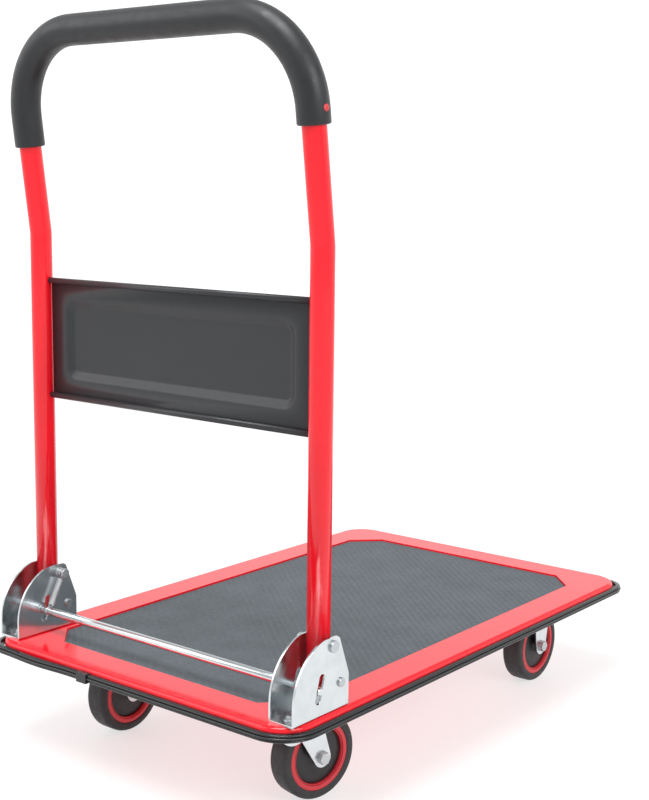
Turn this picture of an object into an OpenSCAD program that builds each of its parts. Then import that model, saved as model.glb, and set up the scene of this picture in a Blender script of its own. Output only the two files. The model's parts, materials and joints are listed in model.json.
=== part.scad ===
// Folding platform cart: a pressed steel deck on four casters, with a
// U-shaped handle that folds forward onto the deck and a sprung lock rod.
// +X is forward (away from the handle), +Y is left, +Z is up.
// The origin is on the floor, below the middle of the deck.

/* [Deck] */
// Length of the pressed deck, without the bumper
deck_l = 728; // [700:1:760]
// Width of the pressed deck, without the bumper
deck_w = 465; // [455:1:480]
// Height of the deck's border above the floor
deck_h = 134; // [130:1:140]
// Corner radius of the deck
deck_corner_r = 38; // [34:1:44]
// Radius of the rolled edge round the border
deck_roll_r = 5; // [3:0.5:6]
// Thickness of the deck's sheet steel
sheet_t = 1.5; // [1:0.1:2]
// Length of the rubber mat
mat_l = 640; // [630:1:644]
// Width of the rubber mat
mat_w = 377; // [370:1:379]
// Thickness of the rubber mat
mat_t = 2; // [1.5:0.1:2.2]
// Length of the cut across each corner of the mat, along the sides
mat_cut = 36; // [30:1:42]

/* [Bumper] */
// Thickness of the bumper strip
bumper_t = 7.5; // [6:0.5:9]
// Height of the bumper strip
bumper_h = 9; // [8:0.5:10]
// Drop from the border to the top of the bumper strip
bumper_drop = 5.5; // [5:0.5:6]
// Inside corner radius of the bumper strip, smaller than the deck's
bumper_corner_r = 26; // [24:1:30]
// How far the loose stretch of the strip stands off the deck
bumper_slack = 3; // [1:0.5:4]

/* [Handle] */
// Outside diameter of the handle tube
tube_d = 25.4; // [25.2:0.1:25.6]
// Wall of the handle tube
tube_wall = 1.5; // [1.2:0.1:2]
// Distance between the centrelines of the two legs
leg_gap = 426; // [424:1:428]
// Distance from the deck's rear edge to the legs
leg_setback = 71.3; // [70:0.1:73]
// Height of the bend in the legs above the floor
bend_h = 616; // [600:1:640]
// Backward lean of the handle above the bend, in degrees
lean = 7.6; // [5:0.1:8]
// Length of the leaning part, to the centre of the cross bar
upper_l = 226.4; // [215:0.1:235]
// Radius of the two top corners, to the tube's centreline
top_r = 93; // [85:1:98]

/* [Grip] */
// Outside diameter of the foam grip
grip_d = 34.4; // [32:0.2:38]
// Distance from the bend to the grip's lower end on the left leg
grip_left = 100; // [90:1:120]
// Distance from the bend to the grip's lower end on the right leg
grip_right = 118; // [90:1:125]

/* [Panel] */
// Height of the panel's lower edge above the floor
panel_z = 420.4; // [415:0.1:425]
// Height of the panel
panel_h = 143.5; // [140:0.5:148]
// Diameter of the rolled bead along the panel's top and bottom
bead_d = 7; // [6:0.5:8]
// Thickness of the panel's sheet
panel_t = 1.2; // [1:0.1:1.6]
// Distance from the panel's edges to its pressed recess
recess_margin = 26; // [22:1:30]
// Depth of the pressed recess
recess_depth = 5; // [3:0.5:6]

/* [Hinge brackets] */
// Thickness of the bracket plate
plate_t = 2.5; // [2.5:0.1:2.6]
// Gap between each cheek and the handle tube
cheek_gap = 1.5; // [1.4:0.1:1.6]
// Radius of the curved rear edge of the cheeks
cheek_r = 62.5; // [61:0.5:63]
// Height of the top of the cheeks above the border
cheek_h = 81; // [80:0.5:82]
// Diameter of the pivot pins
pivot_d = 8; // [8:0.1:8.2]
// Outside diameter of the stop sleeves in front of the legs
stop_d = 8.6; // [8:0.1:8.6]
// Diameter of the lock rod between its shoulders
rod_d = 10; // [9.6:0.1:10]
// Diameter of the lock rod's journals, which run in the slots
journal_d = 8; // [7.6:0.1:8.2]
// Travel of the lock rod when it is pressed down
rod_travel = 9; // [6:0.5:9]
// Slant of the lock rod's slot from the vertical, in degrees
slot_slant = 15.7; // [15:0.1:16]
// Outside diameter of the return springs
spring_d = 8.4; // [8:0.1:8.6]

/* [Casters] */
// Wheel diameter
wheel_d = 100; // [98:1:100]
// Width of the tyre
tyre_w = 28; // [26:1:28]
// Outside diameter of the red rim
rim_d = 79; // [77:1:80]
// Diameter of the black hub disc
hub_d = 65; // [62:1:67]
// Distance of the casters' centres from the middle of the deck, lengthwise
caster_x = 258; // [254:1:260]
// Distance of the casters' centres from the middle of the deck, crosswise
caster_y = 148.4; // [145:0.1:149]
// Trail of the swivel casters
trail = 30; // [28:1:32]
// Turn of the rear left caster from straight, in degrees
turn_left = -0.4; // [-20:0.1:20]
// Turn of the rear right caster from straight, in degrees
turn_right = -12.1; // [-20:0.1:20]
// Diameter of the axle bolts
axle_d = 8; // [8:0.1:8.2]

/* [Hidden] */
$fn = 64;
eps = 0.01;
fit = 0.05;                                   // radial clearance of a turning fit
free = 0.3;                                   // gap beside a part that moves
tube_r = tube_d / 2;
leg_x = leg_setback - deck_l / 2;
leg_y = leg_gap / 2;
panel_x = leg_x + 3;                          // the back panel's sheet
mat_top = deck_h - mat_t;
tray_top = mat_top - mat_t;                   // floor of the deck's recess
tray_bottom = tray_top - sheet_t;
rim_h = 15;                                   // height of the deck's outer wall
bumper_top = deck_h - bumper_drop;
// handle pivot, stop and lock rod, all from the leg's centreline and the border
pivot_x = leg_x + 4.2;
pivot_z = deck_h + 71;
stop_x = leg_x + tube_r + free + stop_d / 2;
stop_z = deck_h + 29;
rod_x = leg_x - tube_r - 1 - journal_d / 2;
rod_z = deck_h + 28;
rod_reach = norm([rod_x - pivot_x, rod_z - pivot_z]);
leg_end_r = rod_reach - journal_d / 2 - free; // the legs end on this arc round the pivot
slot_r = journal_d / 2 + 0.4;
slot_up = 14;                                 // slot above the rod at rest
cheek_in = leg_y - tube_r - cheek_gap;        // faces of the cheeks that look at the leg
cheek_out = leg_y + tube_r + cheek_gap;
spring_y = cheek_in - plate_t - 6;
bracket_rear = leg_x - 59.5;
bracket_front = leg_x + 31;
bracket_bolt_x = [leg_x - 45, leg_x + 20];
grip_plug_s = 134;                            // height of the grip's plugs above the bend
bend_r = 60;
bend_run = bend_r * tan(lean / 2);
bend_lap = 0.5;                               // how far a straight length runs into the bend
// casters
axle_z = wheel_d / 2;
plate = [95, 75, 2.5];
stud_pitch = [75, 55];
stud_d = 8;
crown_r = 27;
crown_z = 115;
crown_t = 2.5;
leaf_in = tyre_w / 2 + 2.5;                   // inner face of a fork's leg
leaf_t = 2.5;
kingpin_d = 10;
race_bottom = 119.5;
rail_x = 110;
rail_h = 12;

red = [0.87, 0.09, 0.13];
black = [0.1, 0.1, 0.11];
zinc = [0.75, 0.77, 0.78];

// ---------- shared shapes ----------

function arc(c, r, a0, a1, n) =
    [for (i = [0:n]) c + r * [cos(a0 + (a1 - a0) * i / n), sin(a0 + (a1 - a0) * i / n)]];

// a cylinder along Y, from y0 to y1
module pin_y(x, z, y0, y1, d) {
    translate([x, y1, z]) rotate([90, 0, 0]) cylinder(d = d, h = y1 - y0);
}

module both_sides() {
    children();
    mirror([0, 1, 0]) children();
}

// a rectangle with cut corners
module cut_rectangle(l, w, cut) {
    polygon([
        [l / 2, cut - w / 2], [l / 2, w / 2 - cut], [l / 2 - cut, w / 2],
        [cut - l / 2, w / 2], [-l / 2, w / 2 - cut], [-l / 2, cut - w / 2],
        [cut - l / 2, -w / 2], [l / 2 - cut, -w / 2]
    ]);
}

module hexagon(flats, h) {
    cylinder(d = flats / cos(30), h = h, $fn = 6);
}

// ---------- deck ----------

// section of the border and its rolled edge, from the corner's centre outwards
module rim_section() {
    r = deck_corner_r;
    roll = deck_roll_r;
    polygon(concat(
        [[0, deck_h - sheet_t], [0, deck_h]],
        arc([r - roll, deck_h - roll], roll, 90, 0, 6),
        [[r, deck_h - rim_h], [r - sheet_t, deck_h - rim_h]],
        arc([r - roll, deck_h - roll], roll - sheet_t, 0, 90, 6)
    ));
}

// runs the border's section along a straight side of the given length
module rim_side(length) {
    rotate([90, 0, 0]) linear_extrude(length, center = true) rim_section();
}

module deck_pan() {
    side_x = deck_l / 2 - deck_corner_r;
    side_y = deck_w / 2 - deck_corner_r;
    wall = sheet_t * 2;
    wall_cut = mat_cut + sheet_t * (2 - sqrt(2));
    color(red) difference() {
        union() {
            difference() {
                union() {
                    for (a = [0, 180]) rotate(a) {
                        translate([side_x, side_y, 0]) rotate_extrude(angle = 90) rim_section();
                        translate([-side_x, side_y, 0]) rotate(90)
                            rotate_extrude(angle = 90) rim_section();
                        translate([side_x, 0, 0]) rim_side(2 * side_y);
                        translate([0, side_y, 0]) rotate(90) rim_side(2 * side_x);
                    }
                    translate([-side_x, -side_y, deck_h - sheet_t])
                        cube([2 * side_x, 2 * side_y, sheet_t]);
                }
                translate([0, 0, tray_bottom])
                    linear_extrude(deck_h) cut_rectangle(mat_l, mat_w, mat_cut);
            }
            translate([0, 0, tray_bottom]) difference() {
                linear_extrude(deck_h - tray_bottom - eps)
                    cut_rectangle(mat_l + wall, mat_w + wall, wall_cut);
                translate([0, 0, sheet_t])
                    linear_extrude(deck_h) cut_rectangle(mat_l, mat_w, mat_cut);
            }
        }
        both_sides() for (x = bracket_bolt_x)
            translate([x, leg_y, deck_h - 3]) cylinder(d = 6.4, h = 6);
    }
}

module deck_mat() {
    color(black) translate([0, 0, tray_top])
        linear_extrude(mat_t) cut_rectangle(mat_l, mat_w, mat_cut);
}

// outline of the bumper, grown outwards from the deck's sides by the given amount;
// the rear side stands off the deck in a smooth wave beside the left corner, and the strip
// lies tight round the rear right corner only
module bumper_outline(grow) {
    lx = deck_l / 2 + grow;
    ly = deck_w / 2 + grow;
    r = bumper_corner_r + grow;
    tight_r = deck_corner_r + grow;
    wave_y0 = 84;
    wave_y1 = deck_w / 2 - bumper_corner_r;
    wave = [for (i = [1:16])
        [-lx - bumper_slack * pow(sin(180 * i / 16), 2),
            wave_y1 + (wave_y0 - wave_y1) * i / 16]];
    polygon(concat(
        arc([lx - r, ly - r], r, 0, 90, 12),
        arc([r - lx, ly - r], r, 90, 180, 12),
        wave,
        arc([tight_r - lx, tight_r - ly], tight_r, 180, 270, 12),
        arc([lx - r, r - ly], r, 270, 360, 12)
    ));
}

// the strip has three ribs with a groove between each pair
module bumper_strip() {
    rib = bumper_h / 4;
    groove = rib / 2;
    levels = [
        [0, rib, bumper_t], [rib, groove, bumper_t - 1], [rib + groove, rib, bumper_t],
        [2 * rib + groove, groove, bumper_t - 1], [2 * (rib + groove), rib, bumper_t]
    ];
    color(black) translate([0, 0, bumper_top - bumper_h]) difference() {
        union() for (level = levels)
            translate([0, 0, level[0]]) linear_extrude(level[1]) bumper_outline(level[2]);
        translate([0, 0, -1]) linear_extrude(bumper_h + 2) bumper_outline(0);
    }
}

// a clip that hides the joint where the strip's ends meet
module bumper_joiner() {
    length = 16;
    wall = 1;
    joint_y = 65;
    x1 = -deck_l / 2 - bumper_t;
    z0 = bumper_top - bumper_h;
    color(black) difference() {
        translate([x1 - wall, joint_y - length / 2, z0 - wall])
            cube([bumper_t + wall - free, length, bumper_h + 2 * wall]);
        translate([x1, joint_y - length, z0]) cube([bumper_t + 1, 2 * length, bumper_h]);
    }
}

// two hat rails across the underside of the deck
module cross_rails() {
    half = 18;
    flange = 12;
    t = sheet_t;
    color(red) for (x = [-rail_x, rail_x]) translate([x, 0, tray_bottom])
        rotate([90, 0, 0]) linear_extrude(mat_w - 20, center = true) polygon([
            [-half - flange, 0], [-half + t, 0], [-half + t, t - rail_h],
            [half - t, t - rail_h], [half - t, 0], [half + flange, 0],
            [half + flange, -t], [half, -t], [half, -rail_h],
            [-half, -rail_h], [-half, -t], [-half - flange, -t]
        ]);
}

// ---------- hinge brackets ----------

// one cheek's outline in the XZ plane: curved behind, with a slanted front edge
module cheek_outline() {
    c = [leg_x + 3, deck_h + 20];
    a_end = 104;
    polygon(concat(
        [[bracket_front, deck_h], [bracket_rear, deck_h]],
        arc(c, cheek_r, 180, a_end, 12),
        [
            [leg_x - 7, deck_h + cheek_h], [leg_x + 11, deck_h + cheek_h - 0.5],
            [leg_x + 15, deck_h + cheek_h - 3], [bracket_front, deck_h + 36]
        ]
    ));
}

module cheek(y0) {
    translate([0, y0 + plate_t, 0]) rotate([90, 0, 0])
        linear_extrude(plate_t) cheek_outline();
}

// the slot that the lock rod slides in, slanted down and to the rear
module rod_slot() {
    y0 = cheek_in - plate_t - 2;
    y1 = cheek_out + plate_t + 2;
    low = rod_travel + 0.4;
    translate([rod_x, 0, rod_z]) rotate([0, slot_slant, 0]) {
        pin_y(0, slot_up, y0, y1, 2 * slot_r);
        pin_y(0, -low, y0, y1, 2 * slot_r);
        translate([-slot_r, y0, -low]) cube([2 * slot_r, y1 - y0, slot_up + low]);
    }
}

module hinge_bracket() {
    y0 = cheek_in - plate_t;
    y1 = cheek_out + plate_t;
    color(zinc) difference() {
        union() {
            cheek(y0);
            cheek(cheek_out);
            translate([bracket_rear, y0, deck_h])
                cube([bracket_front - bracket_rear, y1 - y0, plate_t]);
        }
        pin_y(pivot_x, pivot_z, y0 - 2, y1 + 2, pivot_d + 2 * fit);
        pin_y(stop_x, stop_z, y0 - 2, y1 + 2, 6 + 2 * fit);
        rod_slot();
        for (x = bracket_bolt_x)
            translate([x, leg_y, deck_h - 1]) cylinder(d = 6.4, h = plate_t + 2);
    }
}

module hinge_bracket_left() hinge_bracket();
module hinge_bracket_right() mirror([0, 1, 0]) hinge_bracket();

module bracket_bolts() {
    color(zinc) both_sides() for (x = bracket_bolt_x) translate([x, leg_y, 0]) {
        translate([0, 0, deck_h + plate_t]) cylinder(d = 13, h = 1.2);
        translate([0, 0, deck_h + plate_t + 1.2]) hexagon(10, 4);
        translate([0, 0, deck_h - 10]) cylinder(d = 6, h = plate_t + 12);
    }
}

module bracket_nuts() {
    color(zinc) both_sides() for (x = bracket_bolt_x)
        translate([x, leg_y, deck_h - sheet_t]) mirror([0, 0, 1]) difference() {
            union() {
                cylinder(d = 13, h = 1.2);
                translate([0, 0, 1.2]) hexagon(10, 5);
            }
            translate([0, 0, -1]) cylinder(d = 6, h = 9);
        }
}

// pins that carry the handle; the inner end is a stud for the spring's upper hook
module pivot_pins() {
    y_in = cheek_in - plate_t;
    y_out = cheek_out + plate_t;
    color(zinc) both_sides() {
        pin_y(pivot_x, pivot_z, y_in - 10, y_out + 1, pivot_d);
        pin_y(pivot_x, pivot_z, y_out, y_out + 3, 13);
        pin_y(pivot_x, pivot_z, y_in - 2, y_in, 11.5);
        pin_y(pivot_x, pivot_z, y_in - 12, y_in - 9.5, 11.5);
    }
}

// riveted pins with a sleeve that the legs lean against when upright
module stop_pins() {
    y_in = cheek_in - plate_t;
    y_out = cheek_out + plate_t;
    color(zinc) both_sides() {
        pin_y(stop_x, stop_z, y_in - 1, y_out + 1, 6);
        pin_y(stop_x, stop_z, cheek_in, cheek_out, stop_d);
        pin_y(stop_x, stop_z, y_out, y_out + 2.5, 10);
        pin_y(stop_x, stop_z, y_in - 2.5, y_in, 10);
    }
}

// the coil's body, with an eye round the pivot's stud and another round the lock rod
module return_spring() {
    run = [rod_x - pivot_x, rod_z - pivot_z];
    length = norm(run);
    wire = 1.2;
    eye = [pivot_d / 2 + 0.2 + wire / 2, journal_d / 2 + 0.2 + wire / 2];
    coil0 = eye[0] + 3;
    coil1 = length - eye[1] - 3;
    color(zinc) translate([pivot_x, spring_y, pivot_z]) rotate([0, atan2(run[0], run[1]), 0]) {
        translate([0, 0, coil0]) difference() {
            cylinder(d = spring_d, h = coil1 - coil0);
            translate([0, 0, -1]) cylinder(d = spring_d - 2 * wire, h = length);
        }
        for (end = [[0, eye[0]], [length, eye[1]]]) translate([0, 0, end[0]])
            rotate([90, 0, 0]) rotate_extrude() translate([end[1], 0]) circle(d = wire);
        for (z = [coil0, coil1]) translate([-spring_d / 2, -wire / 2, z - wire / 2])
            cube([spring_d, wire, wire]);
        for (span = [[eye[0], coil0], [coil1, length - eye[1]]])
            translate([0, 0, span[0]]) cylinder(d = wire, h = span[1] - span[0]);
    }
}

module return_spring_left() return_spring();
module return_spring_right() mirror([0, 1, 0]) return_spring();

// ---------- lock rod ----------

module lock_rod() {
    shoulder = spring_y - spring_d / 2 - 1;
    half = cheek_out + plate_t + 1.5;
    color(zinc) {
        pin_y(rod_x, rod_z, -shoulder, shoulder, rod_d);
        pin_y(rod_x, rod_z, -half, half, journal_d);
    }
}

// ---------- handle ----------

// moves what is drawn above the bend into the leaning plane
module leaning() {
    translate([leg_x, 0, bend_h]) rotate([0, -lean, 0]) children();
}

// an extruded ring, as a straight length of tube
module straight_tube(d, bore, length) {
    linear_extrude(length) difference() {
        circle(d = d);
        circle(d = bore);
    }
}

// a bent length of tube: it turns from +X towards +Y about Z, at radius r
module bent_tube(d, bore, r, angle) {
    rotate_extrude(angle = angle) translate([r, 0]) difference() {
        circle(d = d);
        circle(d = bore);
    }
}

// the top of the handle; the legs start at the given heights above the bend
module hoop(d, bore, left, right) {
    side_y = leg_y - top_r;
    side_z = upper_l - top_r;
    leaning() {
        translate([0, leg_y, left]) straight_tube(d, bore, side_z - left);
        translate([0, -leg_y, right]) straight_tube(d, bore, side_z - right);
        both_sides() translate([0, side_y, side_z]) rotate([90, 0, 90])
            bent_tube(d, bore, top_r, 90);
        translate([0, side_y, upper_l]) rotate([90, 0, 0])
            straight_tube(d, bore, 2 * side_y);
    }
}

// a leg from the bend down, where the tube is drawn slightly thicker;
// its lower end follows an arc round the pivot, clear of the rod
module lower_leg(d, bore) {
    z0 = deck_h + 10;
    swell = 0.1;
    translate([leg_x - bend_r, leg_y, bend_h - bend_run]) rotate([90, 0, 0])
        bent_tube(d + swell, bore - swell, bend_r, lean);
    difference() {
        translate([leg_x, leg_y, z0])
            straight_tube(d, bore, bend_h - bend_run + bend_lap - z0);
        difference() {
            translate([leg_x - d, leg_y - d, z0 - 1]) cube([2 * d, 2 * d, pivot_z - z0 - 20]);
            pin_y(pivot_x, pivot_z, leg_y - 2 * d, leg_y + 2 * d, 2 * leg_end_r);
        }
        pin_y(pivot_x, pivot_z, leg_y - d, leg_y + d, pivot_d + 2 * fit);
    }
}

module handle_tube() {
    bore = tube_d - 2 * tube_wall;
    color(red) {
        hoop(tube_d, bore, bend_run - bend_lap, bend_run - bend_lap);
        both_sides() lower_leg(tube_d, bore);
    }
}

module foam_grip() {
    color(black) difference() {
        hoop(grip_d, tube_d + 2 * fit, grip_left, grip_right);
        leaning() both_sides()
            pin_y(0, grip_plug_s, leg_y + grip_d / 2 - 3, leg_y + grip_d, 8);
    }
}

// small buttons set into the outer side of the grip, near its ends
module grip_plugs() {
    color(red) leaning() both_sides()
        pin_y(0, grip_plug_s, leg_y + grip_d / 2 - 3, leg_y + grip_d / 2 + 0.6, 8);
}

// ---------- back panel ----------

module recess_block(depth, shrink) {
    l = leg_gap - tube_d - 2 * recess_margin - 2 * shrink;
    h = panel_h - 2 * recess_margin - 2 * shrink;
    slope = 7;
    hull() {
        translate([panel_x, 0, panel_z + panel_h / 2]) cube([eps, l, h], center = true);
        translate([panel_x + depth, 0, panel_z + panel_h / 2])
            cube([eps, l - 2 * slope, h - 2 * slope], center = true);
    }
}

module back_panel() {
    half = leg_y - tube_r + 3;
    sheet_half = leg_y - tube_r - 0.4;
    bead_z = [panel_z + bead_d / 2, panel_z + panel_h - bead_d / 2];
    color(black) difference() {
        union() {
            for (z = bead_z) pin_y(panel_x, z, -half, half, bead_d);
            translate([panel_x - panel_t / 2, -sheet_half, bead_z[0]])
                cube([panel_t, 2 * sheet_half, bead_z[1] - bead_z[0]]);
            recess_block(recess_depth + panel_t / 2, 0);
        }
        translate([-panel_t, 0, 0]) recess_block(recess_depth + panel_t / 2, 1);
        both_sides() translate([leg_x, leg_y, panel_z - 10])
            cylinder(d = tube_d, h = panel_h + 20);
    }
}

// ---------- casters ----------

// each caster is drawn with its axle along Y, above the floor below the origin
module at_rear(side, turn) {
    translate([-caster_x, side * caster_y, 0]) rotate(turn) children();
}

module at_wheel(side, turn) {
    at_rear(side, turn) translate([trail, 0, 0]) children();
}

module at_front(side) {
    translate([caster_x, side * caster_y, 0]) children();
}

module caster_plate(hole) {
    r = 8;
    l = plate[0];
    w = plate[1];
    color(zinc) translate([0, 0, tray_bottom - plate[2]]) difference() {
        union() {
            translate([r - l / 2, -w / 2, 0]) cube([l - 2 * r, w, plate[2]]);
            translate([-l / 2, r - w / 2, 0]) cube([l, w - 2 * r, plate[2]]);
            for (x = [r - l / 2, l / 2 - r], y = [r - w / 2, w / 2 - r])
                translate([x, y, 0]) cylinder(r = r, h = plate[2]);
        }
        for (x = [-1, 1], y = [-1, 1])
            translate([x * stud_pitch[0] / 2, y * stud_pitch[1] / 2, -1])
                cylinder(d = stud_d + 0.6, h = plate[2] + 2);
        if (hole > 0) translate([0, 0, -1]) cylinder(d = hole, h = plate[2] + 2);
    }
}

// the fixed half of the swivel's ball race
module caster_bearing() {
    top = tray_bottom - plate[2];
    color(zinc) rotate_extrude() polygon([
        [kingpin_d / 2 + fit, top], [27, top], [27, top - 2], [22, race_bottom],
        [kingpin_d / 2 + fit, race_bottom]
    ]);
}

module caster_kingpin() {
    color(zinc) {
        translate([0, 0, crown_z - 4]) cylinder(d = kingpin_d, h = tray_bottom - crown_z + 4);
        translate([0, 0, crown_z - 5]) cylinder(d = 17, h = 5 - free);
    }
}

// one leg of a swivel fork, sloping from the crown down to the axle, with a round
// shoulder at the rear; in the XZ plane with the axle at the origin
module swivel_leaf() {
    hull() {
        circle(r = 11.5);
        translate([-trail - 24, crown_z - axle_z]) square([46, 1]);
    }
    translate([-39, 45]) circle(r = 21.5);
}

module fixed_leaf() {
    top = tray_bottom - plate[2] - axle_z;
    hull() {
        circle(r = 12);
        translate([-24, top]) square([48, eps]);
    }
}

// stands a leaf's outline up at both sides of the wheel
module leaves() {
    for (y = [-leaf_in, leaf_in + leaf_t])
        translate([0, y, axle_z]) rotate([90, 0, 0]) linear_extrude(leaf_t) children();
}

module swivel_fork() {
    side = leaf_in + leaf_t;
    color(zinc) difference() {
        union() {
            translate([-trail, 0, crown_z]) {
                cylinder(r = crown_r, h = crown_t);
                translate([-27, -side, 0]) cube([54, 2 * side, crown_t]);
            }
            translate([-trail, 0, crown_z + crown_t])
                cylinder(r1 = 19, r2 = 17, h = race_bottom - crown_z - crown_t - free);
            intersection() {
                leaves() swivel_leaf();
                translate([-100, -50, 0]) cube([200, 100, crown_z]);
            }
        }
        translate([-trail, 0, crown_z - 1]) cylinder(d = kingpin_d + 2 * fit, h = 9);
        pin_y(0, axle_z, -side - 1, side + 1, axle_d + 2 * fit);
    }
}

module fixed_fork() {
    side = leaf_in + leaf_t;
    color(zinc) {
        difference() {
            union() {
                caster_plate(0);
                leaves() fixed_leaf();
            }
            pin_y(0, axle_z, -side - 1, side + 1, axle_d + 2 * fit);
        }
    }
}

// a hexagon-headed bolt along Y, its head on the right
module axle_bolt() {
    side = leaf_in + leaf_t;
    color(zinc) {
        pin_y(0, axle_z, -side - 1, side + 11, axle_d);
        translate([0, -side, axle_z]) rotate([90, 0, 0]) hexagon(13, 5.3);
    }
}

module axle_nut() {
    side = leaf_in + leaf_t;
    color(zinc) translate([0, side, axle_z]) rotate([-90, 0, 0]) difference() {
        hexagon(13, 7.5);
        translate([0, 0, -1]) cylinder(d = axle_d, h = 10);
    }
}

module wheel_ring(half, r_in, r_out, round) {
    rotate([90, 0, 0]) rotate_extrude($fn = 96) polygon(concat(
        [[r_in, -half], [r_out - round, -half]],
        arc([r_out - round, round - half], round, -90, 0, 6),
        arc([r_out - round, half - round], round, 0, 90, 6),
        [[r_in, half]]
    ));
}

module tyre() {
    color(black) translate([0, 0, axle_z])
        wheel_ring(tyre_w / 2, rim_d / 2, wheel_d / 2, 4);
}

module rim() {
    color(red) translate([0, 0, axle_z])
        wheel_ring(tyre_w / 2 - 0.6, hub_d / 2, rim_d / 2, 0.2);
}

// the hub disc lies below the rim's face on both sides and runs on the axle
module hub() {
    web = tyre_w / 2 - 4;
    boss = leaf_in - free;
    bore = axle_d / 2 + fit;
    color(black) translate([0, 0, axle_z]) rotate([90, 0, 0])
        rotate_extrude($fn = 96) polygon([
            [bore, -boss], [9, -boss], [10, -web], [hub_d / 2, -web],
            [hub_d / 2, web], [10, web], [9, boss], [bore, boss]
        ]);
}

// studs welded to the deck, with their nuts under the casters' plates
module stud_places() {
    for (cx = [-caster_x, caster_x], cy = [-caster_y, caster_y], x = [-1, 1], y = [-1, 1])
        translate([cx + x * stud_pitch[0] / 2, cy + y * stud_pitch[1] / 2, tray_bottom])
            mirror([0, 0, 1]) children();
}

module caster_studs() {
    color(zinc) stud_places() cylinder(d = stud_d, h = 12);
}

module caster_nuts() {
    color(zinc) stud_places() translate([0, 0, plate[2]]) difference() {
        hexagon(13, 6.5);
        translate([0, 0, -1]) cylinder(d = stud_d, h = 9);
    }
}

// ---------- nodes ----------

deck_pan();
deck_mat();
bumper_strip();
bumper_joiner();
cross_rails();
hinge_bracket_left();
hinge_bracket_right();
bracket_bolts();
bracket_nuts();
pivot_pins();
stop_pins();
return_spring_left();
return_spring_right();
lock_rod();
handle_tube();
foam_grip();
grip_plugs();
back_panel();
caster_studs();
caster_nuts();
at_rear(1, 0) caster_plate(kingpin_d + 2 * fit);  // rear_left_plate
at_rear(1, 0) caster_bearing();  // rear_left_bearing
at_rear(1, 0) caster_kingpin();  // rear_left_kingpin
at_wheel(1, turn_left) swivel_fork();  // rear_left_fork
at_wheel(1, turn_left) axle_bolt();  // rear_left_axle
at_wheel(1, turn_left) axle_nut();  // rear_left_axle_nut
at_wheel(1, turn_left) tyre();  // rear_left_tyre
at_wheel(1, turn_left) rim();  // rear_left_rim
at_wheel(1, turn_left) hub();  // rear_left_hub
at_rear(-1, 0) caster_plate(kingpin_d + 2 * fit);  // rear_right_plate
at_rear(-1, 0) caster_bearing();  // rear_right_bearing
at_rear(-1, 0) caster_kingpin();  // rear_right_kingpin
at_wheel(-1, turn_right) swivel_fork();  // rear_right_fork
at_wheel(-1, turn_right) axle_bolt();  // rear_right_axle
at_wheel(-1, turn_right) axle_nut();  // rear_right_axle_nut
at_wheel(-1, turn_right) tyre();  // rear_right_tyre
at_wheel(-1, turn_right) rim();  // rear_right_rim
at_wheel(-1, turn_right) hub();  // rear_right_hub
at_front(1) fixed_fork();  // front_left_fork
at_front(1) axle_bolt();  // front_left_axle
at_front(1) axle_nut();  // front_left_axle_nut
at_front(1) tyre();  // front_left_tyre
at_front(1) rim();  // front_left_rim
at_front(1) hub();  // front_left_hub
at_front(-1) fixed_fork();  // front_right_fork
at_front(-1) axle_bolt();  // front_right_axle
at_front(-1) axle_nut();  // front_right_axle_nut
at_front(-1) tyre();  // front_right_tyre
at_front(-1) rim();  // front_right_rim
at_front(-1) hub();  // front_right_hub
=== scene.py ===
import json
import math

import bmesh
import bpy
from bpy.props import FloatProperty, FloatVectorProperty, IntProperty, PointerProperty
from mathutils import Matrix, Vector


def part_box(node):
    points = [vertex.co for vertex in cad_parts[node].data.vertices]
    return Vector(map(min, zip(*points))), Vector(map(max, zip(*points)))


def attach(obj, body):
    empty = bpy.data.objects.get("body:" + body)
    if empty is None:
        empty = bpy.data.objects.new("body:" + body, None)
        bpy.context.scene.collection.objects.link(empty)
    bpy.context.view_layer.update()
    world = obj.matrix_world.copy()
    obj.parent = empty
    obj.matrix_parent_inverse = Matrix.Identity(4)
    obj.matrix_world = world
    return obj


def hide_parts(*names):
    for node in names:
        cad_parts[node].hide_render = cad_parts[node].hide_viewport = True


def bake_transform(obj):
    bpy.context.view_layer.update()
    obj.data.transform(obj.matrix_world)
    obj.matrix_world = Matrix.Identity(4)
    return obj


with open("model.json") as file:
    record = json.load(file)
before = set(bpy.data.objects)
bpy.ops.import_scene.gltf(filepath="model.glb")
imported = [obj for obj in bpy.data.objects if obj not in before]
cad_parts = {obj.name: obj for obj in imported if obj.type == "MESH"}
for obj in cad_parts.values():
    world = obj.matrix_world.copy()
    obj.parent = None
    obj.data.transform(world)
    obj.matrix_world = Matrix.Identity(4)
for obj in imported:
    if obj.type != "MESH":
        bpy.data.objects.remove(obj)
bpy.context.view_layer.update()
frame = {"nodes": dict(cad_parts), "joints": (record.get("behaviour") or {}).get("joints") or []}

bl_info = {
    "name": "Folding platform cart",
    "version": (1, 0, 0),
    "blender": (4, 5, 0),
    "location": "View3D > Sidebar > Cart",
    "description": "Builds the finished surfaces of a folding platform cart round its frame",
    "category": "Mesh",
}

MM = 0.001
X, Y, Z = Vector((1, 0, 0)), Vector((0, 1, 0)), Vector((0, 0, 1))
JOINTS = {joint["name"]: joint for joint in frame["joints"]}
SIDES = {"left": 1, "right": -1}
WHEELS = ("rear_left", "rear_right", "front_left", "front_right")
CAST_BODY = {"rear_left": "rear_left_swivel", "rear_right": "rear_right_swivel",
             "front_left": "deck", "front_right": "deck"}

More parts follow.
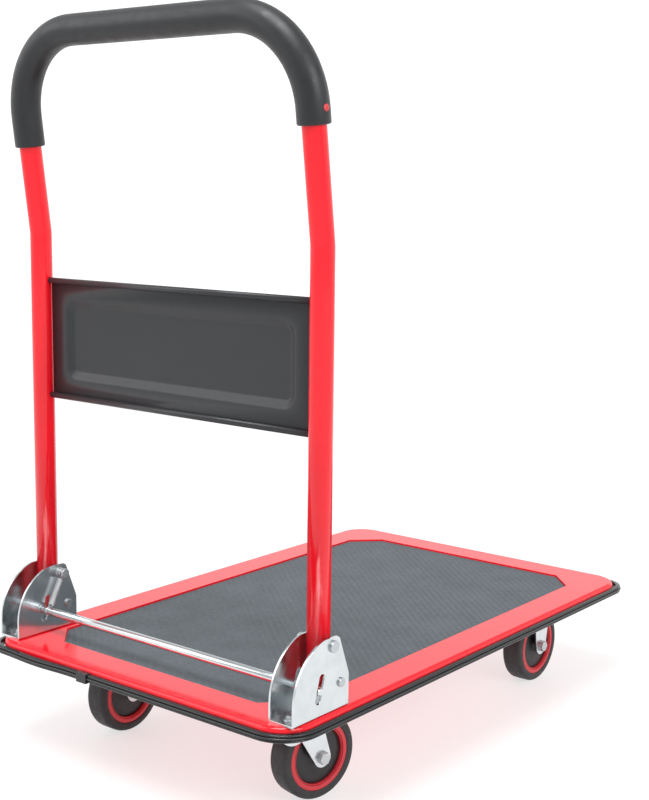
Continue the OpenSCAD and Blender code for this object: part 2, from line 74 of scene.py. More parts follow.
PIVOT_OFFSET = 4.2 * MM        # the pivot stands this far in front of the legs' centreline
CAD_MERGE = 0.01 * MM          # closer vertices of a CAD node's loose triangles are one
PIECE_MERGE = 0.004 * MM       # the same for a modelled piece
LATHE_MERGE = 0.001 * MM       # the same at a lathe's poles
CAD_FLAT = math.radians(0.6)   # CAD faces closer than this in angle lie in one plane
EASED_EDGE = math.radians(40)  # a CAD edge sharper than this is eased
FOLDED_EDGE = math.radians(60)  # a CAD edge sharper than this may be a fold
AREA_WEIGHT = 100              # how much a large face's normal outweighs a small one's
MAT_EDGE = 0.6 * MM            # the mat's outline stays this far inside its CAD box
BUMPER_LOOSE = 84 * MM         # from the deck's middle to the loose stretch of the strip
BUMPER_STEPS = 16              # lengths in that stretch
BUMPER_CORNER_STEPS = 10
SPRING_TURNS = 13
SPRING_RADIUS = 3.6 * MM       # centreline of the coil
SPRING_WIRE = 1.2 * MM
SPRING_EYE = 4.8 * MM          # centreline of the eyes
SPRING_LEAD = 3 * MM           # straight wire between an eye and the coil
TURN_POINTS = 16               # points of the wire's line in one turn
EYE_POINTS = 18                # and in one eye
TUBE_BELOW = 40 * MM           # the legs are drawn this far below the pivot, then trimmed
TOP_STEPS, BEND_STEPS = 22, 6  # lengths in a top corner and in a leg's bend
SHEET = 0.8 * MM               # thickness of the back panel
RECESS_CORNER = 18 * MM        # radius of the recess's corners in plan
BEAD_STEPS, BEAD_TURN = 22, math.radians(330)
# steps of the recess's slope: inward in mm, and its share of the depth in fifths
RECESS_SLOPE = ((1.2, 0.1), (1.2, 0.4), (1.2, 0.8), (5.2, 2.6), (1.2, 0.7), (1.2, 0.3),
                (1.2, 0.1))
SENSOR = 36                    # camera's sensor width in mm, as the camera states it
BACKDROP_HEIGHT = 3.2
BACKDROP_HALF_ARC = math.radians(110)


# ---------- measures taken from the frame ----------

def middle(node):
    low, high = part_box(node)
    return (low + high) / 2


PIVOT = Vector(JOINTS["handle_fold"]["pos_m"])
ROD = middle("lock_rod")
LEG_X = PIVOT.x - PIVOT_OFFSET
LEG_Y = middle("hinge_bracket_left").y
DECK_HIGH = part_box("deck_pan")[1]
MAT_LOW, MAT_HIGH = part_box("deck_mat")
SPRING_LOW, SPRING_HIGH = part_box("return_spring_left")


def linear(hex_colour):
    """A linear colour with alpha from an sRGB hex value."""
    parts = [int(hex_colour[i:i + 2], 16) / 255 for i in (1, 3, 5)]
    return [p / 12.92 if p <= 0.04045 else ((p + 0.055) / 1.055) ** 2.4 for p in parts] + [1]


# ---------- settings ----------

def length(name, about, default):
    return FloatProperty(name=name, description=about, default=default, unit="LENGTH")


def colour(name, about, hex_colour):
    return FloatVectorProperty(name=name, description=about, subtype="COLOR", size=4,
                               default=linear(hex_colour), min=0, max=1)


class CartDeckSettings(bpy.types.PropertyGroup):
    rib_pitch: length("Rib pitch", "Distance between the mat's ribs", 8.2 * MM)
    rib_width: length("Rib width", "Width of one rib of the mat", 4.6 * MM)
    rib_height: length("Rib height", "Height of the mat's ribs above its base", 0.7 * MM)
    rib_angle: FloatProperty(name="Rib angle",
                             description="Turn of the ribs from the deck's length",
                             default=math.radians(49.5), subtype="ANGLE")
    mat_cut: length("Mat corner", "Length of the cut across the mat's corners", 36 * MM)
    bumper_slack: length("Bumper slack", "How far the strip's loose stretch stands off", 3 * MM)
    bumper_corner: length("Bumper corner", "Inside corner radius of the strip", 26 * MM)
    bumper_tight: length("Tight corner", "The same at the rear right corner", 38 * MM)
    rib_stop: length("Rib stop", "Plain edge between the ribs and the mat's outline", 2.5 * MM)


class CartHandleSettings(bpy.types.PropertyGroup):
    tube: length("Tube diameter", "Outside diameter of the handle tube", 25.4 * MM)
    wall: length("Tube wall", "Wall of the handle tube", 1.5 * MM)
    bend_height: length("Bend height", "Height of the bend in the legs", 616 * MM)
    bend_radius: length("Bend radius", "Centreline radius of the bend in the legs", 60 * MM)
    lean: FloatProperty(name="Lean", description="Backward lean above the bend",
                        default=math.radians(7.6), subtype="ANGLE")
    upper: length("Upper length", "From the bend to the cross bar", 226.4 * MM)
    corner: length("Corner radius", "Centreline radius of the two top corners", 93 * MM)
    grip: length("Grip diameter", "Outside diameter of the foam grip", 34.4 * MM)
    grip_left: length("Grip, left end", "From the bend to the grip's left end", 100 * MM)
    grip_right: length("Grip, right end", "From the bend to the grip's right end", 118 * MM)
    bead: length("Bead diameter", "Rolled bead of the back panel", 7 * MM)
    margin: length("Recess margin", "From the panel's edge to its recess", 26 * MM)
    recess: length("Recess depth", "Depth of the panel's recess", 5 * MM)


class CartCasterSettings(bpy.types.PropertyGroup):
    tyre_width: length("Tyre width", "Width of the tyre", 28 * MM)
    wheel: length("Wheel diameter", "Outside diameter of the tyre", 100 * MM)
    rim: length("Rim diameter", "Outside diameter of the red ring", 79 * MM)
    hub: length("Hub diameter", "Diameter of the black hub disc", 65 * MM)
    segments: IntProperty(name="Segments", description="Facets round a wheel", default=96)


class CartFinishSettings(bpy.types.PropertyGroup):
    red: colour("Red enamel", "Powder coat on the deck and the handle", "#e31222")
    panel: colour("Black enamel", "Powder coat on the back panel", "#232528")
    mat: colour("Mat", "Ribbed rubber mat", "#4b5257")
    vinyl: colour("Bumper", "Extruded vinyl strip", "#1b1c1e")
    foam: colour("Grip", "Foam sleeve", "#181a1d")
    zinc: colour("Zinc", "Zinc-plated steel", "#d3d8da")
    bolt: colour("Fasteners", "Duller zinc plate on bolts, nuts and pins", "#bcc1c3")
    tyre: colour("Tyre", "Solid rubber tyre", "#232325")
    rim: colour("Rim", "Red polypropylene ring", "#bb2a33")
    hub: colour("Hub", "Black polypropylene hub", "#161618")


class CartStageSettings(bpy.types.PropertyGroup):
    focal: length("Focal length", "Focal length of the camera", 62.43 * MM)
    azimuth: FloatProperty(name="Azimuth", description="Camera's angle round the cart",
                           default=math.radians(-51.53), subtype="ANGLE")
    elevation: FloatProperty(name="Elevation", description="Camera's angle above the floor",
                             default=math.radians(8.82), subtype="ANGLE")
    roll: FloatProperty(name="Roll", description="Camera's roll",
                        default=math.radians(0.68), subtype="ANGLE")
    eye: FloatVectorProperty(name="Eye", description="Camera's place", subtype="TRANSLATION",
                             default=(-1.3732, -1.0759, 0.6756), size=3)
    floor: length("Floor radius", "Radius of the floor", 14)
    wall: length("Backdrop radius", "Radius of the backdrop", 6)
    sky: FloatProperty(name="Sky", description="Brightness of the surroundings", default=0.68)


class CartSettings(bpy.types.PropertyGroup):
    deck: PointerProperty(type=CartDeckSettings)
    handle: PointerProperty(type=CartHandleSettings)
    caster: PointerProperty(type=CartCasterSettings)
    finish: PointerProperty(type=CartFinishSettings)
    stage: PointerProperty(type=CartStageSettings)


# ---------- materials ----------

def per(size_mm):
    """A texture scale, in cycles per metre, from a real size in millimetres."""
    return 1000 / size_mm


def add(tree, kind, inputs=None, **settings):
    """Adds a node. inputs maps each socket to a value or to another node's output."""
    made = tree.nodes.new(kind)
    for name, value in settings.items():
        setattr(made, name, value)
    for socket, value in (inputs or {}).items():
        if isinstance(value, bpy.types.NodeSocket):
            tree.links.new(value, made.inputs[socket])
        else:
            made.inputs[socket].default_value = value
    return made


def start_material(name, **sockets):
    """A material with one shader, whose sockets with one value all over are set here."""
    material = bpy.data.materials.new(name)
    material.use_nodes = True
    tree = material.node_tree
    tree.nodes.clear()
    shader = add(tree, "ShaderNodeBsdfPrincipled",
                 {key.replace("_", " "): value for key, value in sockets.items()})
    add(tree, "ShaderNodeOutputMaterial", {"Surface": shader.outputs[0]})
    return material, tree, shader


def place(tree, scale=(1, 1, 1)):
    """The surface's own coordinates, stretched."""
    where = add(tree, "ShaderNodeTexCoord")
    return add(tree, "ShaderNodeMapping",
               {"Vector": where.outputs["Object"], "Scale": scale}).outputs[0]


def noise(tree, where, size_mm, detail=2.0, roughness=0.5):
    return add(tree, "ShaderNodeTexNoise",
               {"Vector": where, "Scale": per(size_mm), "Detail": detail,
                "Roughness": roughness}).outputs["Fac"]


def span(tree, value, low, high):
    """Maps noise's usual range, 0.3 to 0.7, on to low to high."""
    return add(tree, "ShaderNodeMapRange",
               {"Value": value, "From Min": 0.3, "From Max": 0.7,
                "To Min": low, "To Max": high}).outputs[0]


def shade(colour_value, factor):
    return [min(1, c * factor) for c in colour_value[:3]] + [1]


def vary(tree, shader, pattern, colour_value, low, high):
    """Base colour that drifts between a darker and a lighter tone with a pattern."""
    mix = add(tree, "ShaderNodeMix",
              {0: pattern, 6: shade(colour_value, low), 7: shade(colour_value, high)},
              data_type="RGBA")
    tree.links.new(mix.outputs[2], shader.inputs["Base Color"])


def relief(tree, shader, height, depth_mm, strength):
    bump = add(tree, "ShaderNodeBump",
               {"Height": height, "Distance": depth_mm * MM, "Strength": strength})
    tree.links.new(bump.outputs[0], shader.inputs["Normal"])


def rough(tree, shader, pattern, low, high):
    tree.links.new(span(tree, pattern, low, high), shader.inputs["Roughness"])


def powder_coat(name, colour_value, low, high, coat):
    """Polyester powder coat on steel: it flows out to a gloss with a faint orange peel."""
    material, tree, shader = start_material(name, IOR=1.42, Coat_Weight=coat,
                                            Coat_Roughness=0.1)
    where = place(tree)
    vary(tree, shader, span(tree, noise(tree, where, 70), 0, 1), colour_value, 0.94, 1.04)
    rough(tree, shader, noise(tree, where, 9, 3), low, high)
    relief(tree, shader, noise(tree, where, 2.2, 2), 0.02, 0.4)
    return material


def zinc_plate(name, colour_value, grain=(1, 1, 1), low=0.16, high=0.26):
    """Bright zinc plate on rolled steel: a mirror broken up by rolling lines and pale bloom."""
    material, tree, shader = start_material(name, Metallic=1.0)
    where = place(tree)
    vary(tree, shader, span(tree, noise(tree, where, 16, 4), 0, 1), colour_value, 0.92, 1.02)
    rough(tree, shader, noise(tree, where, 11, 4), low, high)
    relief(tree, shader, noise(tree, place(tree, grain), 1.2, 2), 0.012, 0.4)
    return material


def rubber(name, colour_value, low, high, grit_mm, depth_mm):
    """Rubber, vinyl or moulded plastic with a fine grain, drawn coarse enough to show."""
    material, tree, shader = start_material(name, IOR=1.5)
    where = place(tree)
    vary(tree, shader, span(tree, noise(tree, where, 45, 3), 0, 1), colour_value, 0.88, 1.1)
    rough(tree, shader, noise(tree, where, 6, 3), low, high)
    relief(tree, shader, noise(tree, where, grit_mm, 3, 0.65), depth_mm, 0.7)
    return material


def foam_skin(name, colour_value):
    """Closed-cell foam sleeve: fine cells, drawn coarse enough to show, with a soft bloom."""
    material, tree, shader = start_material(name, IOR=1.45, Sheen_Weight=0.08,
                                            Sheen_Roughness=0.45)
    where = place(tree)
    cells = add(tree, "ShaderNodeTexVoronoi",
                {"Vector": where, "Scale": per(1.3)}).outputs["Distance"]
    vary(tree, shader, span(tree, noise(tree, where, 0.9, 3), 0, 1), colour_value, 0.82, 1.12)
    rough(tree, shader, noise(tree, where, 12, 3), 0.36, 0.5)
    relief(tree, shader, cells, 0.12, 0.5)
    return material


MATERIALS = {}


def make_materials(finish):
    """One material for each finish on the cart."""
    MATERIALS.update({
        "red": powder_coat("red_powder_coat", finish.red, 0.1, 0.17, 0.1),
        "panel": powder_coat("black_satin_powder_coat", finish.panel, 0.38, 0.46, 0.15),
        "mat": rubber("ribbed_rubber", finish.mat, 0.55, 0.72, 1.1, 0.06),
        "vinyl": rubber("extruded_vinyl", finish.vinyl, 0.2, 0.3, 1.6, 0.015),
        "foam": foam_skin("foam_sleeve", finish.foam),
        "zinc": zinc_plate("zinc_plated_sheet", finish.zinc, (0.08, 1, 1)),
        "bolt": zinc_plate("zinc_plated_bolts", finish.bolt, low=0.26, high=0.4),
        "rod": zinc_plate("zinc_plated_drawn_bar", finish.zinc, (1, 0.2, 1), 0.12, 0.18),
        "wire": zinc_plate("zinc_plated_spring_wire", finish.zinc, low=0.26, high=0.36),
        "tyre": rubber("solid_rubber_tyre", finish.tyre, 0.5, 0.68, 1.2, 0.05),
        "rim": rubber("red_polypropylene", finish.rim, 0.38, 0.5, 0.9, 0.02),
        "hub": rubber("black_polypropylene", finish.hub, 0.36, 0.5, 0.9, 0.02),
        "floor": start_material("pale_floor", Base_Color=linear("#969696"), Roughness=0.7,
                                Emission_Color=linear("#ffffff"), Emission_Strength=0.66)[0],
        "backdrop": start_material("lit_backdrop", Base_Color=linear("#909090"), Roughness=0.8,
                                   Emission_Color=linear("#ffffff"), Emission_Strength=0.85)[0],
    })


# ---------- shaping ----------

def faces_out(bm):
    bmesh.ops.remove_doubles(bm, verts=bm.verts, dist=PIECE_MERGE)
    bmesh.ops.recalc_face_normals(bm, faces=bm.faces)


def finished(bm, name, material, body, nodes=(), crease=35):
    """Turns a bmesh into a piece that rides on a body and stands for CAD nodes."""
    mesh = bpy.data.meshes.new(name)
    bm.to_mesh(mesh)
    bm.free()
    for polygon in mesh.polygons:
        polygon.use_smooth = True
    mesh.set_sharp_from_angle(angle=math.radians(crease))
    mesh.materials.append(MATERIALS[material])
    piece = bpy.data.objects.new(name, mesh)
    bpy.context.scene.collection.objects.link(piece)
    if nodes:
        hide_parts(*nodes)
    if body:
        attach(piece, body)
    return piece


def eased(node, width, segments, bends):
    """A merged copy of a CAD node with its sharp edges eased.

    bends lists (test, radius) pairs: an edge whose middle passes the test is rounded first.
    """
    bm = bmesh.new()
    bm.from_mesh(frame["nodes"][node].data)
    bmesh.ops.remove_doubles(bm, verts=bm.verts, dist=CAD_MERGE)
    bmesh.ops.dissolve_limit(bm, angle_limit=CAD_FLAT, verts=bm.verts, edges=bm.edges,
                             use_dissolve_boundaries=False)
    for test, radius in bends:
        chosen = [e for e in bm.edges if e.is_manifold
                  and e.calc_face_angle(0) > FOLDED_EDGE
                  and test((e.verts[0].co + e.verts[1].co) / 2)]
        bmesh.ops.bevel(bm, geom=chosen, offset=radius, offset_type="OFFSET", affect="EDGES",
                        segments=5, profile=0.5, material=-1, clamp_overlap=True)
    sharp = [e for e in bm.edges if e.is_manifold
             and e.calc_face_angle(0) > EASED_EDGE]
    bmesh.ops.bevel(bm, geom=sharp, offset=width, offset_type="OFFSET", affect="EDGES",
                    segments=segments, profile=0.5, material=-1, clamp_overlap=True)
    return bm


def eased_piece(node, name, width, segments, material, body, bends=()):
    """An eased copy whose large flat faces are shaded flat."""
    piece = finished(eased(node, width, segments, bends), name, material, body, [node])
    normals = piece.modifiers.new("flat_faces", "WEIGHTED_NORMAL")
    normals.keep_sharp = True
    normals.weight = AREA_WEIGHT
    return piece


class Sweep:
    """A closed section that is drawn along straight lengths and bends."""

    def __init__(self, bm, verts):
        self.bm = bm
        self.start = list(verts)
        self.verts = list(verts)
        ring = set(verts)
        self.edges = [e for e in bm.edges if e.verts[0] in ring and e.verts[1] in ring]

    def run(self, offset):
        made = bmesh.ops.extrude_edge_only(self.bm, edges=self.edges)["geom"]
        self.take(made)
        bmesh.ops.translate(self.bm, verts=self.verts, vec=offset)

    def turn(self, centre, axis, angle, steps):
        made = bmesh.ops.spin(self.bm, geom=self.verts + self.edges, cent=centre, axis=axis,
                              angle=angle, steps=steps, use_duplicate=False)["geom_last"]
        self.take(made)

    def grow(self, factor_centre, factor):
        """Draws the section on to a larger or smaller copy of itself in the same plane."""
        made = bmesh.ops.extrude_edge_only(self.bm, edges=self.edges)["geom"]
        self.take(made)
        bmesh.ops.scale(self.bm, verts=self.verts, vec=(factor,) * 3,
                        space=Matrix.Translation(-factor_centre))

    def take(self, made):
        self.verts = [g for g in made if isinstance(g, bmesh.types.BMVert)]
        ring = set(self.verts)
        self.edges = [g for g in made if isinstance(g, bmesh.types.BMEdge)
                      and g.verts[0] in ring and g.verts[1] in ring]


def outline(bm, points):
    """A closed loop of edges through the points."""
    verts = [bm.verts.new(p) for p in points]
    for a, b in zip(verts, verts[1:] + verts[:1]):
        bm.edges.new((a, b))
    return verts


def lathe(bm, profile, centre, axis, segments):
    """Spins (radius, along) pairs about an axis; the profile closes on itself or at radius 0."""
    across = axis.orthogonal().normalized()
    verts = [bm.verts.new(centre + across * r + axis * a) for r, a in profile]
    edges = [bm.edges.new(pair) for pair in zip(verts, verts[1:])]
    if profile[0][0] > 0 and profile[-1][0] > 0:
        edges.append(bm.edges.new((verts[-1], verts[0])))
    bmesh.ops.spin(bm, geom=verts + edges, cent=centre, axis=axis, angle=math.tau,
                   steps=segments, use_merge=True, use_duplicate=False)
    bmesh.ops.remove_doubles(bm, verts=bm.verts, dist=LATHE_MERGE)


def mirrored(profile):
    """The far side of a lathe's profile, to be drawn before the near side."""
    return [(r, -a) for r, a in reversed(profile)]


def arc(centre_r, centre_a, radius, start, end, steps):
    """Points of an arc in a lathe's profile, by degrees from the radius towards the axis."""
    turns = [math.radians(start + (end - start) * i / steps) for i in range(steps + 1)]
    return [(centre_r + radius * math.cos(t), centre_a + radius * math.sin(t)) for t in turns]


# ---------- deck ----------

def cut_corners(bm, half_x, half_y, cut):
    """Trims a flat pattern to a rectangle with cut corners and closes the cuts."""
    slant = half_x + half_y - cut
    for sx, sy in ((1, 1), (1, -1), (-1, 1), (-1, -1)):
        for point, normal in ((Vector((sx * half_x, 0, 0)), X * sx),
                              (Vector((0, sy * half_y, 0)), Y * sy),
                              (Vector((sx * slant, 0, 0)), (X * sx + Y * sy).normalized())):
            bmesh.ops.bisect_plane(bm, geom=bm.verts[:] + bm.edges[:] + bm.faces[:],
                                   plane_co=point, plane_no=normal, clear_outer=True,
                                   dist=0.0005 * MM)
            bmesh.ops.holes_fill(bm, edges=[e for e in bm.edges if e.is_boundary], sides=0)


def mat_piece(deck):
    """Rubber mat: a flat sheet with moulded ribs that run slantwise across it."""
    half_x = (MAT_HIGH.x - MAT_LOW.x) / 2 - MAT_EDGE
    half_y = (MAT_HIGH.y - MAT_LOW.y) / 2 - MAT_EDGE
    base_top = MAT_HIGH.z - deck.rib_height * 0.5
    bm = bmesh.new()
    made = bmesh.ops.create_cube(bm, size=1)
    bmesh.ops.scale(bm, verts=made["verts"],
                    vec=(3 * half_x, 3 * half_y, base_top - MAT_LOW.z))
    bmesh.ops.translate(bm, verts=made["verts"], vec=(0, 0, (base_top + MAT_LOW.z) / 2))
    cut_corners(bm, half_x, half_y, deck.mat_cut)
    ribs = bmesh.new()
    reach = math.hypot(half_x, half_y)
    count = math.ceil(reach / deck.rib_pitch)
    turn = Matrix.Rotation(deck.rib_angle, 4, "Z")
    section = [(-0.5, -0.4), (-0.5, 0), (-0.34, 0.8), (-0.15, 1), (0.15, 1), (0.34, 0.8),
               (0.5, 0), (0.5, -0.4)]
    for i in range(-count, count + 1):
        across = i * deck.rib_pitch
        verts = outline(ribs, [
            turn @ Vector((-reach, across + w * deck.rib_width, base_top + h * deck.rib_height))
            for w, h in section])
        face = ribs.faces.new(verts)
        made = bmesh.ops.extrude_face_region(ribs, geom=[face])["geom"]
        moved = [g for g in made if isinstance(g, bmesh.types.BMVert)]
        bmesh.ops.translate(ribs, verts=moved, vec=turn @ Vector((2 * reach, 0, 0)))
    stop = deck.rib_stop
    cut_corners(ribs, half_x - stop, half_y - stop, deck.mat_cut)
    for part, name, crease in ((bm, "mat_sheet", 30), (ribs, "mat_ribs", 50)):
        bmesh.ops.recalc_face_normals(part, faces=part.faces)
        finished(part, name, "mat", "deck", ["deck_mat"], crease=crease)


def bumper_section(bm, at, outward, thickness, low, high):
    """Section of the strip: flat inside, three round ribs outside, grooves between them.

    The middle rib stands out furthest, so the strip reads as a flattened D.
    """
    rib = (high - low) / 3
    points = [(0.4 * MM, low), (0, low + 0.6 * MM), (0, high - 0.6 * MM), (0.4 * MM, high)]
    for k, back in ((2, 1.1 * MM), (1, 0), (0, 1.1 * MM)):
        centre = low + (k + 0.5) * rib
        for degrees in (80, 45, 15, -15, -45, -80):
            t = math.radians(degrees)
            points.append((thickness - back - 1.9 * MM + 1.9 * MM * math.cos(t),
                           centre + rib * 0.5 * math.sin(t)))
    return outline(bm, [at + outward * u + Z * z for u, z in points])


def bumper_piece(deck):
    """Vinyl strip round the deck: loose beside the rear left corner, tight round the right."""
    low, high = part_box("bumper_strip")
    thickness = high.y - DECK_HIGH.y
    r, tight = deck.bumper_corner, deck.bumper_tight
    half_x, half_y = DECK_HIGH.x, DECK_HIGH.y
    bm = bmesh.new()
    wave = half_y - r - BUMPER_LOOSE
    first = Vector((-half_x, half_y - r - wave, 0))
    sweep = Sweep(bm, bumper_section(bm, first, -X, thickness, low.z, high.z))
    sweep.run(Vector((0, -(first.y + half_y - tight), 0)))
    sweep.turn(Vector((tight - half_x, tight - half_y, 0)), Z, math.pi / 2, BUMPER_CORNER_STEPS)
    sweep.run(Vector((2 * half_x - r - tight, 0, 0)))
    sweep.turn(Vector((half_x - r, r - half_y, 0)), Z, math.pi / 2, BUMPER_CORNER_STEPS)
    sweep.run(Vector((0, 2 * (half_y - r), 0)))
    sweep.turn(Vector((half_x - r, half_y - r, 0)), Z, math.pi / 2, BUMPER_CORNER_STEPS)
    sweep.run(Vector((-2 * (half_x - r), 0, 0)))
    sweep.turn(Vector((r - half_x, half_y - r, 0)), Z, math.pi / 2, BUMPER_CORNER_STEPS)
    for i in range(BUMPER_STEPS):
        out, past = [deck.bumper_slack * math.sin(math.pi * k / BUMPER_STEPS) ** 2
                     for k in (i, i + 1)]
        sweep.run(Vector((out - past, -wave / BUMPER_STEPS, 0)))
    faces_out(bm)
    finished(bm, "bumper", "vinyl", "deck", ["bumper_strip"], crease=50)


def joint_piece():
    """Short sleeve of the same vinyl, pushed over the strip's joint."""
    eased_piece("bumper_joiner", "bumper_joint", 0.6 * MM, 3, "vinyl", "deck")


class CART_OT_deck(bpy.types.Operator):
    """Deck pan, cross rails, mat and bumper"""
    bl_idname = "cart.deck"
    bl_label = "Deck"

    def execute(self, context):
        deck = context.scene.cart.deck
        for node, ease in (("deck_pan", 0.5), ("cross_rails", 0.8)):
            eased_piece(node, f"{node}_enamel", ease * MM, 3, "red", "deck")
        mat_piece(deck)
        bumper_piece(deck)
        joint_piece()
        return {"FINISHED"}


# ---------- hinge brackets and lock ----------

def bracket_piece(side):
    """Folded zinc-plated channel: both lower outside edges follow the press brake's radius."""
    node = f"hinge_bracket_{side}"
    low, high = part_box(node)

    def outside_fold(p):
        return p.z < low.z + 0.1 * MM and (abs(p.y - low.y) < 0.1 * MM
                                           or abs(p.y - high.y) < 0.1 * MM)

    eased_piece(node, f"bracket_{side}", 0.3 * MM, 2, "zinc", "deck",
                [(outside_fold, 2.2 * MM)])


def spring_points(top, bottom):
    """The wire's centreline: an eye round the stud, the coil, and an eye round the rod."""
    down = (bottom - top).normalized()
    side = down.cross(Y).normalized()
    start = SPRING_EYE + SPRING_LEAD
    end = (bottom - top).length - start

    def eye(centre, first):
        """Most of a circle round the centre, from an angle in degrees."""
        for i in range(EYE_POINTS + 1):
            t = math.radians(first + 300 * i / EYE_POINTS)
            yield centre + SPRING_EYE * (down * math.cos(t) + side * math.sin(t))

    points = list(eye(top, 60))
    count = SPRING_TURNS * TURN_POINTS
    for i in range(count + 1):
        t = math.tau * SPRING_TURNS * i / count
        along = start + (end - start) * i / count
        points.append(top + down * along
                      + SPRING_RADIUS * (side * math.cos(t) + Y * math.sin(t)))
    return points + list(eye(bottom, 180))


def wire_mesh(name, points):
    """A spring's round wire along the points."""
    curve = bpy.data.curves.new(name, "CURVE")
    curve.dimensions = "3D"
    curve.bevel_depth = SPRING_WIRE / 2
    curve.bevel_resolution = 2
    curve.use_fill_caps = True
    spline = curve.splines.new("POLY")
    spline.points.add(len(points) - 1)
    for slot, point in zip(spline.points, points):
        slot.co = (*point, 1)
    holder = bpy.data.objects.new(name, curve)
    bpy.context.scene.collection.objects.link(holder)
    bpy.context.view_layer.update()
    mesh = bpy.data.meshes.new_from_object(
        holder.evaluated_get(bpy.context.evaluated_depsgraph_get()))
    bpy.data.objects.remove(holder)
    bpy.data.curves.remove(curve)
    bm = bmesh.new()
    bm.from_mesh(mesh)
    bpy.data.meshes.remove(mesh)
    faces_out(bm)
    return bm


def spring_piece(side):
    """Return spring of zinc-plated wire, hooked between the pivot's stud and the rod."""
    y = (SPRING_LOW.y + SPRING_HIGH.y) / 2 * SIDES[side]
    top, bottom = Vector((PIVOT.x, y, PIVOT.z)), Vector((ROD.x, y, ROD.z))
    wire = wire_mesh(f"spring_{side}", spring_points(top, bottom))
    piece = finished(wire, f"spring_{side}", "wire", None,
                     [f"return_spring_{side}"], crease=60)
    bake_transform(piece)


def rod_piece():
    """Lock rod of bright drawn bar, turned down to a journal at each end."""
    low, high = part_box("lock_rod")
    radius, journal, half = (high.x - low.x) / 2, 4 * MM, high.y
    shoulder = SPRING_LOW.y - 1 * MM
    ease = 0.8 * MM
    end = [(radius, shoulder - ease), (radius - 0.3 * MM, shoulder - 0.25 * MM),
           (radius - ease, shoulder), (journal, shoulder), (journal, half - ease),
           (journal - ease, half), (0, half)]
    profile = mirrored(end) + end
    bm = bmesh.new()
    lathe(bm, profile, Vector((ROD.x, 0, ROD.z)), Y, 40)
    faces_out(bm)
    finished(bm, "rod", "rod", "lock_rod", ["lock_rod"])


class CART_OT_hinge(bpy.types.Operator):
    """Hinge brackets, their fasteners and pins, the springs and the lock rod"""
    bl_idname = "cart.hinge"
    bl_label = "Hinge"

    def execute(self, context):
        for side in SIDES:
            bracket_piece(side)
            spring_piece(side)
        for node, ease in (("bracket_bolts", 0.5), ("bracket_nuts", 0.4), ("pivot_pins", 0.6),
                           ("stop_pins", 0.6)):
            eased_piece(node, f"{node}_plated", ease * MM, 3, "bolt", "deck")
        rod_piece()
        return {"FINISHED"}


# ---------- handle ----------

class HandleLine:
    """The handle's centreline: leg height, bend, leaning plane and the two top corners."""

    def __init__(self, handle):
        self.lean = handle.lean
        self.bend = Vector((LEG_X, 0, handle.bend_height))
        self.up = Vector((-math.sin(self.lean), 0, math.cos(self.lean)))
        self.run = handle.bend_radius * math.tan(self.lean / 2)
        self.corner_y = LEG_Y - handle.corner
        self.corner_up = handle.upper - handle.corner
        self.normal = self.up.cross(Y)

    def at(self, y, up):
        """A point in the leaning plane."""
        return self.bend + Y * y + self.up * up


def ring(bm, centre, along, radius, segments):
    """A circle of edges round the line that points along."""
    turn = along.to_track_quat("Z", "X").to_matrix().to_4x4()
    return bmesh.ops.create_circle(bm, cap_ends=False, radius=radius, segments=segments,
                                   matrix=Matrix.Translation(centre) @ turn)["verts"]


def over_the_top(sweep, line, left, right):
    """Draws a section from the left leg over the cross bar to the right leg."""
    sweep.run(line.up * (line.corner_up - left))
    sweep.turn(line.at(line.corner_y, line.corner_up), line.normal, -math.pi / 2, TOP_STEPS)
    sweep.run(Y * (-2 * line.corner_y))
    sweep.turn(line.at(-line.corner_y, line.corner_up), line.normal, -math.pi / 2, TOP_STEPS)
    sweep.run(-line.up * (line.corner_up - right))


def tube_piece(handle):
    """Bent steel tube with a real wall; its lower ends follow an arc round the pivot."""
    line = HandleLine(handle)
    radius = handle.tube / 2
    foot = PIVOT.z - TUBE_BELOW
    straight = handle.bend_height - line.run - foot
    centre = Vector((LEG_X - handle.bend_radius, 0, handle.bend_height - line.run))
    bm = bmesh.new()
    sweep = Sweep(bm, ring(bm, Vector((LEG_X, LEG_Y, foot)), Z, radius, 48))
    sweep.run(Z * straight)
    sweep.turn(centre, -Y, handle.lean, BEND_STEPS)
    over_the_top(sweep, line, line.run, line.run)
    sweep.turn(centre, Y, handle.lean, BEND_STEPS)
    sweep.run(-Z * straight)
    reach = PIVOT.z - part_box("handle_tube")[0].z
    for vert in sweep.start + sweep.verts:
        vert.co.z = PIVOT.z - math.sqrt(reach ** 2 - (vert.co.x - PIVOT.x) ** 2)
    faces_out(bm)
    piece = finished(bm, "tube", "red", "handle", ["handle_tube"])
    wall = piece.modifiers.new("wall", "SOLIDIFY")
    wall.thickness = handle.wall
    wall.offset = -1


